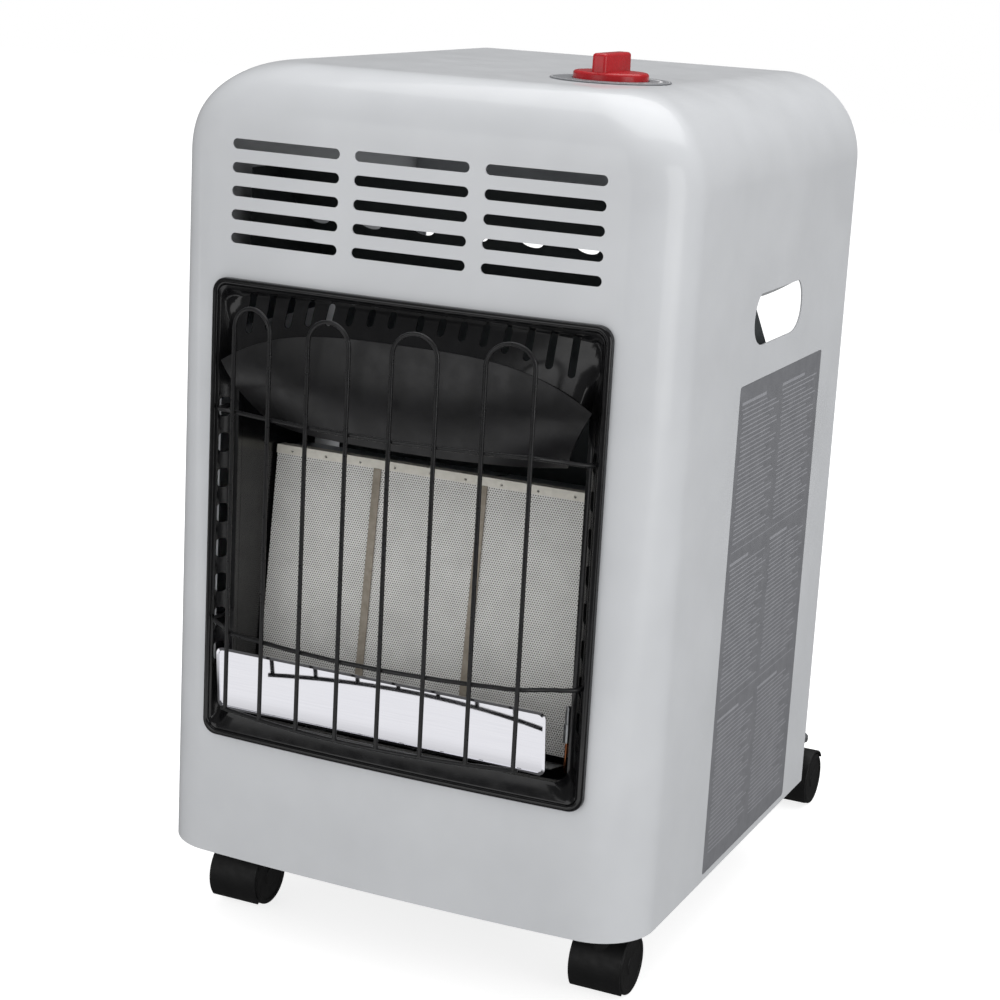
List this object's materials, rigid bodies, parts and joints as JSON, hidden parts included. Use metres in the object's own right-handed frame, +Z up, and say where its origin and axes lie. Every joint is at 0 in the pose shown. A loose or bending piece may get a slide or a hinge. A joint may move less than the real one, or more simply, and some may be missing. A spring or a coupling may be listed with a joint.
{
  "type": "portable gas cabinet heater",
  "caption": "Portable cabinet gas heater with a bowed steel shell, guarded infrared tile burner, control knob on top, open rear cylinder bay and swivelling twin-wheel castors.",
  "frame": {"origin": "middle of the outside size, on the floor under the castors", "axes": "+Z up, -Y to the front where the burner faces, +X to the side that carries the decal"},
  "size_m": [0.43, 0.6505, 0.7412],
  "materials": {
    "white_enamel": "satin light grey-white enamel on pressed steel",
    "black_enamel": "gloss black heat-resisting enamel",
    "black_wire": "semi-gloss black coated wire",
    "polished_steel": "mirror-polished sheet",
    "dark_sheet": "dark grey coated steel",
    "satin_steel": "plain zinc-plated steel",
    "tile_ceramic": "porous off-white ceramic with fine perforations",
    "pale_ceramic": "pale matte ceramic",
    "seal_fibre": "taupe pressed fibre",
    "brass": "turned brass",
    "copper_tube": "drawn copper tube",
    "red_plastic": "semi-gloss red plastic",
    "grey_print": "satin grey printed sheet",
    "black_plastic": "black moulded plastic"
  },
  "bodies": {
    "cabinet": {"cabinet_shell": "white_enamel", "base_tray": "dark_sheet", "heat_shield": "dark_sheet", "front_bezel": "black_enamel", "deflector_hood": "black_enamel", "wire_guard": "black_wire", "lower_reflector": "polished_steel", "burner_side_plate_left": "black_enamel", "burner_side_plate_right": "black_enamel", "chamber_floor": "satin_steel", "ceramic_tile_left": "tile_ceramic", "ceramic_tile_centre": "tile_ceramic", "ceramic_tile_right": "tile_ceramic", "burner_plenum_left": "satin_steel", "burner_plenum_centre": "satin_steel", "burner_plenum_right": "satin_steel", "tile_divider_left": "seal_fibre", "tile_divider_right": "seal_fibre", "tile_retainer": "pale_ceramic", "gas_manifold": "satin_steel", "injector_left": "brass", "injector_centre": "brass", "injector_right": "brass", "gas_valve": "satin_steel", "valve_bracket": "satin_steel", "valve_nut": "brass", "gas_inlet_fitting": "brass", "burner_feed_pipe": "copper_tube", "pilot_pipe": "copper_tube", "thermocouple_lead": "copper_tube", "pilot_burner": "satin_steel", "thermocouple_probe": "satin_steel", "spark_electrode": "pale_ceramic", "tip_over_switch": "black_plastic", "dial_plate": "grey_print", "side_decal": "grey_print", "castor_front_left_pivot": "satin_steel", "castor_front_right_pivot": "satin_steel", "castor_rear_left_pivot": "satin_steel", "castor_rear_right_pivot": "satin_steel"},
    "knob_push": {"valve_plunger": "brass"},
    "knob_turn": {"valve_stem": "satin_steel", "control_knob": "red_plastic"},
    "castor_front_left": {"castor_front_left_housing": "black_plastic", "castor_front_left_axle": "satin_steel"},
    "castor_front_left_wheel_left": {"castor_front_left_wheel_left": "black_plastic"},
    "castor_front_left_wheel_right": {"castor_front_left_wheel_right": "black_plastic"},
    "castor_front_right": {"castor_front_right_housing": "black_plastic", "castor_front_right_axle": "satin_steel"},
    "castor_front_right_wheel_left": {"castor_front_right_wheel_left": "black_plastic"},
    "castor_front_right_wheel_right": {"castor_front_right_wheel_right": "black_plastic"},
    "castor_rear_left": {"castor_rear_left_housing": "black_plastic", "castor_rear_left_axle": "satin_steel"},
    "castor_rear_left_wheel_left": {"castor_rear_left_wheel_left": "black_plastic"},
    "castor_rear_left_wheel_right": {"castor_rear_left_wheel_right": "black_plastic"},
    "castor_rear_right": {"castor_rear_right_housing": "black_plastic", "castor_rear_right_axle": "satin_steel"},
    "castor_rear_right_wheel_left": {"castor_rear_right_wheel_left": "black_plastic"},
    "castor_rear_right_wheel_right": {"castor_rear_right_wheel_right": "black_plastic"}
  },
  "joints": [
    {"name": "knob_push", "type": "slide", "parent": "cabinet", "child": "knob_push", "axis": [0, 0, -1], "range_m": [0, 0.005], "stiffness_N_per_m": 500, "springref_m": -0.006},
    {"name": "knob_turn", "type": "hinge", "parent": "knob_push", "child": "knob_turn", "pos_m": [0.1, -0.1338, 0.73], "axis": [0, 0, 1], "range_deg": [0, 240]},
    {"name": "castor_front_left_swivel", "type": "hinge", "parent": "cabinet", "child": "castor_front_left", "pos_m": [-0.168, -0.2048, 0.06], "axis": [0, 0, 1], "continuous": true},
    {"name": "castor_front_left_wheel_left_spin", "type": "hinge", "parent": "castor_front_left", "child": "castor_front_left_wheel_left", "pos_m": [-0.168, -0.1898, 0.025], "axis": [1, 0, 0], "continuous": true},
    {"name": "castor_front_left_wheel_right_spin", "type": "hinge", "parent": "castor_front_left", "child": "castor_front_left_wheel_right", "pos_m": [-0.168, -0.1898, 0.025], "axis": [1, 0, 0], "continuous": true},
    {"name": "castor_front_right_swivel", "type": "hinge", "parent": "cabinet", "child": "castor_front_right", "pos_m": [0.168, -0.2048, 0.06], "axis": [0, 0, 1], "continuous": true},
    {"name": "castor_front_right_wheel_left_spin", "type": "hinge", "parent": "castor_front_right", "child": "castor_front_right_wheel_left", "pos_m": [0.168, -0.1898, 0.025], "axis": [1, 0, 0], "continuous": true},
    {"name": "castor_front_right_wheel_right_spin", "type": "hinge", "parent": "castor_front_right", "child": "castor_front_right_wheel_right", "pos_m": [0.168, -0.1898, 0.025], "axis": [1, 0, 0], "continuous": true},
    {"name": "castor_rear_left_swivel", "type": "hinge", "parent": "cabinet", "child": "castor_rear_left", "pos_m": [-0.168, 0.2832, 0.06], "axis": [0, 0, 1], "continuous": true},
    {"name": "castor_rear_left_wheel_left_spin", "type": "hinge", "parent": "castor_rear_left", "child": "castor_rear_left_wheel_left", "pos_m": [-0.168, 0.2982, 0.025], "axis": [1, 0, 0], "continuous": true},
    {"name": "castor_rear_left_wheel_right_spin", "type": "hinge", "parent": "castor_rear_left", "child": "castor_rear_left_wheel_right", "pos_m": [-0.168, 0.2982, 0.025], "axis": [1, 0, 0], "continuous": true},
    {"name": "castor_rear_right_swivel", "type": "hinge", "parent": "cabinet", "child": "castor_rear_right", "pos_m": [0.168, 0.2832, 0.06], "axis": [0, 0, 1], "continuous": true},
    {"name": "castor_rear_right_wheel_left_spin", "type": "hinge", "parent": "castor_rear_right", "child": "castor_rear_right_wheel_left", "pos_m": [0.168, 0.2982, 0.025], "axis": [1, 0, 0], "continuous": true},
    {"name": "castor_rear_right_wheel_right_spin", "type": "hinge", "parent": "castor_rear_right", "child": "castor_rear_right_wheel_right", "pos_m": [0.168, 0.2982, 0.025], "axis": [1, 0, 0], "continuous": true}
  ]
}
